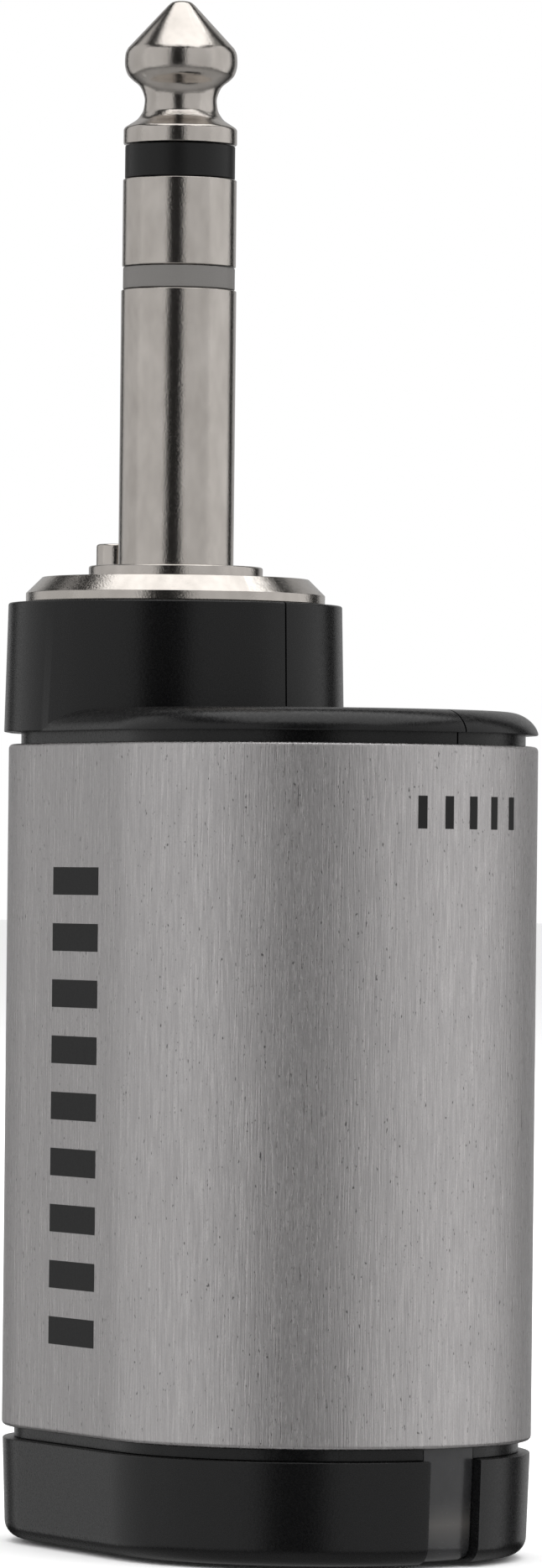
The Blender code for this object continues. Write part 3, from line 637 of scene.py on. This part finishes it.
def makePin():
    collarTop = blockTop - pin["roof"] - pin["drop"]
    collarLow = collarTop - pin["collarHeight"]
    corners = [(0.25 * mm, pinLow.z, 0), (pin["stem"], pinLow.z + 0.25 * mm, 0.05 * mm),
               (pin["stem"], collarLow, 0), (pin["collar"], collarLow, 0.06 * mm),
               (pin["collar"], collarTop, 0.06 * mm), (pin["radius"], collarTop, 0),
               (pin["radius"], pinHigh.z, pin["edge"]), (0.2 * mm, pinHigh.z, 0)]
    piece = ringPiece("sensePin", softened(corners), circlePoints(72), nickel, centre=(pinX, pinY))
    placed(piece, ["sense_pin"], "pin")


makePin()

springLow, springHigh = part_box("pin_spring")
spring = {"wire": 0.14 * mm, "radius": 1.05 * mm, "turns": 4.0, "travel": 1.4 * mm}


def coilTree():
    tree, given, out = newTree("coil", (("Turns", "Float"), ("Coil Radius", "Float"), ("Height", "Float"),
                                        ("Wire", "Float"), ("Finish", "Material")))
    path = tree.nodes.new("GeometryNodeCurveSpiral")
    path.inputs["Resolution"].default_value = 28
    for label, source in (("Rotations", "Turns"), ("Start Radius", "Coil Radius"),
                          ("End Radius", "Coil Radius"), ("Height", "Height")):
        tree.links.new(given[source], path.inputs[label])
    section = tree.nodes.new("GeometryNodeCurvePrimitiveCircle")
    section.inputs["Resolution"].default_value = 12
    tree.links.new(given["Wire"], section.inputs["Radius"])
    sweep = tree.nodes.new("GeometryNodeCurveToMesh")
    sweep.inputs["Fill Caps"].default_value = True
    tree.links.new(path.outputs[0], sweep.inputs["Curve"])
    tree.links.new(section.outputs[0], sweep.inputs["Profile Curve"])
    finishTree(tree, sweep.outputs[0], given["Finish"], out)
    return tree


def makeSpring():
    length = springHigh.z - springLow.z
    piece = nodesMesh("coilSpring", coilTree(), {
        "Turns": spring["turns"], "Coil Radius": spring["radius"], "Height": length - 2 * spring["wire"],
        "Wire": spring["wire"], "Finish": steel})
    piece.data.transform(Matrix.Translation((pinX, pinY, springLow.z + spring["wire"])))
    placed(piece, ["pin_spring"])
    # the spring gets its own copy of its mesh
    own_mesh(piece)


makeSpring()
print("washer, pin and spring made")

housing = {
    "neck": 0.68 * mm,  # how far the core sits inside the outline
    "inner": 1.9 * mm,
    "spigot": 1.36 * mm,
    "spigotBottom": 1.6 * mm,
    "domeRise": 1.25 * mm,
    "domePlate": 0.9 * mm,
    "domeReach": 1.8 * mm,
    "domeEdge": 0.05 * mm,  # the upright strip under the dome's rounding
    "domeLip": 0.04 * mm,
    "blockTop": 9.2 * mm,
    "blockBottom": 9.37 * mm,
    "cavity": 7.9 * mm,
    "plate": pin["roof"],
    "plugClearance": 0.08 * mm,
    "pinHole": 1.7 * mm,
    "seam": 0.11 * mm,
    "screwX": 12.9 * mm,
    "screwHeights": (11.0 * mm, 38.5 * mm),
    "boss": 1.5 * mm,
    "bossReach": 4.1 * mm,
    "bossEnd": 0.2 * mm,
    "drill": 0.8 * mm,
    "sink": 1.3 * mm,
    "sinkDepth": 3.7 * mm,
    "cutStart": 12 * mm,
}
window = {"halfWidth": 1.76 * mm, "depth": 2.2 * mm, "back": 3.6 * mm, "bottom": 0.12 * mm, "top": 8.2 * mm,
          "corner": 0.9 * mm, "clearance": 0.05 * mm}
domeBottom = sleeveHigh.z + 0.62 * mm
neckStart = capHigh.z + 0.05 * mm


def domeLine(steps=22):
    # a full rounded edge that ends level with the flat top
    straight = housing["domeEdge"]
    points = []
    for i in range(steps + 1):
        inset = housing["domeReach"] * (i / steps) ** 2
        rise = (1 - (1 - inset / housing["domeReach"]) ** 2.2) ** (1 / 1.55)
        points.append((inset, domeBottom + straight + (housing["domeRise"] - straight) * rise))
    return points


def makeCore():
    neck = housing["neck"]
    profile = [(housing["spigot"], housing["spigotBottom"]), (housing["spigot"], neckStart),
               (neck, neckStart), (neck, domeBottom), (housing["domeLip"], domeBottom)] + domeLine()
    core = ringPiece("core", profile, bodyPoints, None)
    corners = [(housing["blockBottom"] - 0.2 * mm, domeBottom + 0.02 * mm, 0),
               (housing["blockBottom"], domeBottom + 0.06 * mm, 0.05 * mm),
               (housing["blockTop"], blockTop, 0.12 * mm), (housing["blockTop"] - mm, blockTop, 0)]
    carved(core, ringPiece("block", softened(corners), circlePoints(192), None, centre=onPlug), "UNION")
    roof = domeBottom + housing["domeRise"] - housing["domePlate"]
    hollow = ringPiece("hollow", [(housing["inner"], -mm), (housing["inner"], roof)], bodyPoints, None)
    cavityTop = blockTop - housing["plate"]
    cavityLow = domeBottom + 0.12 * mm
    cavity = ringPiece("cavity", [(housing["cavity"], cavityLow), (housing["cavity"], cavityTop)],
                       circlePoints(96), None, centre=onPlug)
    carved(core, carved(hollow, cavity, "UNION"))
    for radius, centre in ((plug["tailRadius"] + housing["plugClearance"], onPlug),
                           (housing["pinHole"], (pinX, pinY))):
        carved(core, ringPiece("hole", [(radius, cavityTop - mm), (radius, blockTop + mm)], circlePoints(64),
                               None, centre=centre))
    reach = window["halfWidth"] + window["clearance"]
    carved(core, blockPiece("notch", (frontTipX - window["depth"] - 1.2 * mm, -reach, -mm),
                            (frontTipX + mm, reach, window["top"] + window["clearance"])))
    return core


def screwSpots():
    return [(x, z) for x in (-housing["screwX"], housing["screwX"]) for z in housing["screwHeights"]]


def makeHousings():
    core = makeCore()
    deep = housing["bossReach"]
    start = -housing["cutStart"]
    for x, z in screwSpots():
        carved(core, rodAlongY("boss", housing["boss"], -deep, deep, x, z), "UNION")
    for x, z in screwSpots():
        carved(core, rodAlongY("drill", housing["drill"], start, deep - housing["bossEnd"], x, z))
        carved(core, rodAlongY("sink", housing["sink"], start, -housing["sinkDepth"], x, z))
    half = housing["seam"] / 2
    wide = 60 * mm  # past the object on every side
    for name, node, low, high in (("frontShell", "front_housing", -half, wide),
                                  ("rearShell", "rear_housing", -wide, half)):
        shell = added(name, core.data.copy())
        carved(shell, blockPiece("farSide", (-wide, low, -wide), (wide, high, 2 * wide)))
        shell.data.name = name
        painted(shell, blackMoulding)
        smoothed(shell, 32)
        placed(shell, [node])
    bpy.data.objects.remove(core, do_unlink=True)


makeHousings()
print("housing halves made")

sleeve = {"step": 0.3 * mm, "wall": 0.6 * mm, "topEdge": 0.24 * mm, "bottomEdge": 0.5 * mm,
          "inside": 0.08 * mm}


def sweepTree():
    # sweeps the wall's profile round the body: two arcs, about the plug and the far centre, and their sides
    tree, given, out = newTree("sweptWall", (("Profile", "Geometry"), ("Back Radius", "Float"),
                                             ("Front Radius", "Float"), ("Spacing", "Float"),
                                             ("Plug X", "Float"), ("Step", "Float"), ("Finish", "Material")))
    ring = tree.nodes.new("GeometryNodeCurvePrimitiveCircle")
    ring.inputs["Resolution"].default_value = 360
    ring.inputs["Radius"].default_value = 1
    split = tree.nodes.new("ShaderNodeSeparateXYZ")
    tree.links.new(tree.nodes.new("GeometryNodeInputPosition").outputs[0], split.inputs[0])
    turn = mathNode(tree, "ARCTAN2", split.outputs["Y"], split.outputs["X"])
    growth = mathNode(tree, "SUBTRACT", given["Front Radius"], given["Back Radius"])
    taper = mathNode(tree, "ARCSINE", mathNode(tree, "DIVIDE", growth, given["Spacing"]))
    isFront = mathNode(tree, "LESS_THAN", mathNode(tree, "ABSOLUTE", turn),
                       mathNode(tree, "ADD", taper, math.pi / 2))
    radius = mathNode(tree, "ADD", given["Back Radius"], mathNode(tree, "MULTIPLY", isFront, growth))
    centre = mathNode(tree, "ADD", given["Plug X"], mathNode(tree, "MULTIPLY", isFront, given["Spacing"]))
    spot = tree.nodes.new("ShaderNodeCombineXYZ")
    across = mathNode(tree, "MULTIPLY", radius, mathNode(tree, "COSINE", turn))
    tree.links.new(mathNode(tree, "ADD", centre, across), spot.inputs["X"])
    tree.links.new(mathNode(tree, "MULTIPLY", radius, mathNode(tree, "SINE", turn)), spot.inputs["Y"])
    moved = tree.nodes.new("GeometryNodeSetPosition")
    tree.links.new(ring.outputs[0], moved.inputs["Geometry"])
    tree.links.new(spot.outputs[0], moved.inputs["Position"])
    even = tree.nodes.new("GeometryNodeResampleCurve")
    even.mode = "LENGTH"
    tree.links.new(moved.outputs[0], even.inputs["Curve"])
    tree.links.new(given["Step"], even.inputs["Length"])
    upright = tree.nodes.new("GeometryNodeSetCurveNormal")
    upright.mode = "Z_UP"
    tree.links.new(even.outputs[0], upright.inputs[0])
    line = tree.nodes.new("GeometryNodeMeshToCurve")
    tree.links.new(given["Profile"], line.inputs[0])
    sweep = tree.nodes.new("GeometryNodeCurveToMesh")
    tree.links.new(upright.outputs[0], sweep.inputs["Curve"])
    tree.links.new(line.outputs[0], sweep.inputs["Profile Curve"])
    finishTree(tree, sweep.outputs[0], given["Finish"], out)
    return tree


def makeSleeve():
    low, high = sleeveLow.z, sleeveHigh.z
    corners = [(0, low, sleeve["bottomEdge"]), (0, high, sleeve["topEdge"]),
               (sleeve["wall"], high, sleeve["inside"]), (sleeve["wall"], low, sleeve["inside"])]
    line = softened(corners, True, 7)
    profile = bpy.data.meshes.new("wallProfile")
    profile.from_pydata([(-size, -height, 0) for size, height in line],
                        [(i, (i + 1) % len(line)) for i in range(len(line))], [])
    piece = nodesMesh("metalSleeve", sweepTree(), {
        "Back Radius": body["backRadius"], "Front Radius": body["frontRadius"], "Spacing": body["spacing"],
        "Plug X": plugX, "Step": sleeve["step"], "Finish": alloy}, profile)
    placed(piece, ["metal_sleeve"])


makeSleeve()

cap = {"wall": 1.25 * mm, "floor": 1.2 * mm, "draft": 0.24 * mm, "edge": 1.0 * mm, "lip": 0.05 * mm,
       "middle": 6 * mm}


def makeCap():
    top = capHigh.z
    inside = cap["wall"] + cap["lip"]
    corners = [(cap["middle"], 0, 0), (cap["draft"], 0, cap["edge"]), (cap["lip"], top, 0.09 * mm),
               (inside, top, 0.05 * mm), (inside, cap["floor"], 0.2 * mm), (cap["middle"], cap["floor"], 0)]
    piece = ringPiece("bottomCap", softened(corners, False, 8), bodyPoints, None)
    reach = window["halfWidth"] + window["clearance"]
    carved(piece, blockPiece("slot", (frontTipX - window["depth"] - 0.6 * mm, -reach, -mm),
                             (frontTipX + mm, reach, top + mm)))
    painted(piece, blackMoulding)
    smoothed(piece, 32)
    placed(piece, ["bottom_cap"])


makeCap()


def makeWindowPiece():
    neck = housing["neck"]
    low = window["bottom"]
    corners = [(window["back"], low, 0), (neck + 0.25 * mm, low, window["corner"]),
               (neck, capHigh.z, 0.3 * mm), (neck, window["top"], 0.06 * mm),
               (window["back"], window["top"], 0)]
    piece = ringPiece("indicatorWindow", softened(corners, False, 10), bodyPoints, None)
    keep = blockPiece("keep", (frontTipX - window["depth"] - 0.4 * mm, -window["halfWidth"], -mm),
                      (frontTipX + mm, window["halfWidth"], window["top"] + mm))
    carved(piece, keep, "INTERSECT")
    painted(piece, smokyWindow)
    smoothed(piece, 32)
    placed(piece, ["light_pipe"])


makeWindowPiece()
print("sleeve, cap and window made")

# printed bars on the sleeve, plain in place of any mark
printing = {
    "ink": 0.012 * mm,
    "lift": 0.003 * mm,
    "sideCount": 9, "sideBar": (5.6 * mm, 1.5 * mm), "sideSpacing": 3.05 * mm,
    "sideMiddle": 24.0 * mm, "sideAlong": 0.58,
    "frontCount": 5, "frontBar": (0.55 * mm, 1.75 * mm), "frontSpacing": 1.7 * mm,
    "frontMiddle": 40.05 * mm, "frontAngle": 2.9,
}


def barTree():
    # a row of equal bars; the row runs along X or Z by its spacing
    tree, given, out = newTree("printedBars", (("Count", "Int"), ("Spacing", "Vector"),
                                               ("Bar Size", "Vector"), ("Ink", "Material")))
    row = tree.nodes.new("GeometryNodeMeshLine")
    tree.links.new(given["Count"], row.inputs["Count"])
    tree.links.new(given["Spacing"], row.inputs["Offset"])
    bar = tree.nodes.new("GeometryNodeMeshCube")
    tree.links.new(given["Bar Size"], bar.inputs["Size"])
    for label, number in (("Vertices X", 13), ("Vertices Y", 2), ("Vertices Z", 7)):
        bar.inputs[label].default_value = number
    copies = tree.nodes.new("GeometryNodeInstanceOnPoints")
    tree.links.new(row.outputs[0], copies.inputs["Points"])
    tree.links.new(bar.outputs[0], copies.inputs["Instance"])
    finishTree(tree, copies.outputs[0], given["Ink"], out)
    return tree


def barRow(name, tree, count, spacing, size):
    return nodesMesh(name, tree, {"Count": count, "Spacing": spacing, "Bar Size": size, "Ink": printInk})


def makePrinting():
    tree = barTree()
    ink, lift = printing["ink"], printing["lift"]
    wide, tall = printing["sideBar"]
    side = barRow("sidePrint", tree, printing["sideCount"], (0, 0, printing["sideSpacing"]),
                  (wide, ink, tall))
    taper = math.asin((body["frontRadius"] - body["backRadius"]) / body["spacing"])
    normal = Vector((-math.sin(taper), -math.cos(taper), 0))
    along = Vector((math.cos(taper), -math.sin(taper), 0))
    length = math.sqrt(body["spacing"] ** 2 - (body["frontRadius"] - body["backRadius"]) ** 2)
    start = Vector((plugX, 0, 0)) + normal * body["backRadius"] + along * length * printing["sideAlong"]
    lowest = printing["sideMiddle"] - printing["sideSpacing"] * (printing["sideCount"] - 1) / 2
    for corner in side.data.vertices:
        u, v, w = corner.co
        corner.co = start + along * u + normal * (ink / 2 + lift - v) + Vector((0, 0, lowest + w))
    wide, tall = printing["frontBar"]
    front = barRow("frontPrint", tree, printing["frontCount"], (printing["frontSpacing"], 0, 0),
                   (wide, ink, tall))
    width = printing["frontSpacing"] * (printing["frontCount"] - 1)
    radius = body["frontRadius"]
    for corner in front.data.vertices:
        u, v, w = corner.co
        angle = math.radians(printing["frontAngle"]) + (u - width / 2) / radius
        reach = radius + ink / 2 + lift - v
        corner.co = (frontX + reach * math.cos(angle), reach * math.sin(angle), printing["frontMiddle"] + w)
    for piece in (side, front):
        placed(turnedOut(piece), [])


makePrinting()
print("printing made")

shot = {"azimuth": 48.8, "distance": 495 * mm, "height": 36.2 * mm, "aside": 4.573 * mm, "lens": 205.9,
        "shiftX": 0.00995, "shiftY": 0.0631, "roll": 0.0106}


def makeCamera():
    angle = math.radians(shot["azimuth"])
    back = Vector((math.sin(angle), -math.cos(angle), 0))
    right = Vector((math.cos(angle), math.sin(angle), 0))
    camera = bpy.data.cameras.new("camera")
    camera.lens = shot["lens"]
    camera.sensor_width = 36
    camera.shift_x = shot["shiftX"]
    camera.shift_y = shot["shiftY"]
    camera.clip_start = 0.01
    holder = added("camera", camera)
    place = Vector((plugX, 0, shot["height"])) + back * shot["distance"] + right * shot["aside"]
    holder.matrix_world = (Matrix.Translation(place) @ (-back).to_track_quat("-Z", "Y").to_matrix().to_4x4()
                           @ Matrix.Rotation(shot["roll"], 4, "Z"))
    bpy.context.scene.camera = holder


def makeFloor():
    made = bmesh.new()
    bmesh.ops.create_grid(made, x_segments=1, y_segments=1, size=6)
    floor = shaped("floor", made)
    floor.location.z = -0.2 * mm
    floor.data.materials.append(Finish("paleFloor", (0.93, 0.93, 0.93), 0.9).material)
    floor.visible_glossy = False  # the metal mirrors the softboxes, not the floor


# name, direction round the object from the camera, distance, width, height, middle height, brightness
boxes = (("left", -53, 1.1, 1.27, 1.7, 0.4, 0.68), ("farLeft", -111, 1.1, 1.22, 1.7, 0.4, 0.61),
         ("right", 39, 1.1, 1.27, 1.7, 0.4, 0.63), ("farRight", 97, 1.1, 1.22, 1.7, 0.4, 0.77),
         ("rear", 176, 1.3, 1.5, 1.4, 0.5, 0.45))


def addLight(name, place, target, width, height, brightness):
    light = bpy.data.lights.new(name, "AREA")
    light.shape = "RECTANGLE"
    light.size = width
    light.size_y = height
    light.energy = brightness * math.pi * width * height
    lamp = added(name, light)
    lamp.location = place
    lamp.rotation_euler = (target - place).to_track_quat("-Z", "Y").to_euler()
    lamp.visible_camera = False


def makeLight():
    for name, turn, distance, width, height, middle, brightness in boxes:
        angle = math.radians(shot["azimuth"] + turn)
        place = Vector((math.sin(angle) * distance, -math.cos(angle) * distance, middle))
        addLight(name, place, Vector((0, 0, middle)), width, height, brightness)
    addLight("overhead", Vector((0.05, 0.05, 1.3)), Vector((0, 0, 0.05)), 1.5, 1.5, 1.7)
    world = bpy.data.worlds.new("studio")
    bpy.context.scene.world = world
    world.use_nodes = True
    tree = world.node_tree
    background = tree.nodes["Background"]
    ray = tree.nodes.new("ShaderNodeLightPath")
    mix = tree.nodes.new("ShaderNodeMix")
    mix.data_type = "RGBA"
    tree.links.new(ray.outputs["Is Glossy Ray"], mix.inputs[0])
    mix.inputs[6].default_value = (1, 1, 1, 1)
    place = tree.nodes.new("ShaderNodeTexCoord")
    split = tree.nodes.new("ShaderNodeSeparateXYZ")
    tree.links.new(place.outputs["Generated"], split.inputs[0])
    below = tree.nodes.new("ShaderNodeMapRange")  # a dim room above, the pale floor underneath
    for label, value in (("From Min", -0.3), ("From Max", -0.65), ("To Min", 0.015), ("To Max", 0.4)):
        below.inputs[label].default_value = value
    tree.links.new(split.outputs["Z"], below.inputs["Value"])
    tree.links.new(below.outputs[0], mix.inputs[7])
    tree.links.new(mix.outputs[2], background.inputs["Color"])
    bpy.context.scene.view_settings.view_transform = "Standard"


makeCamera()
makeFloor()
makeLight()
print("camera, floor and light made")
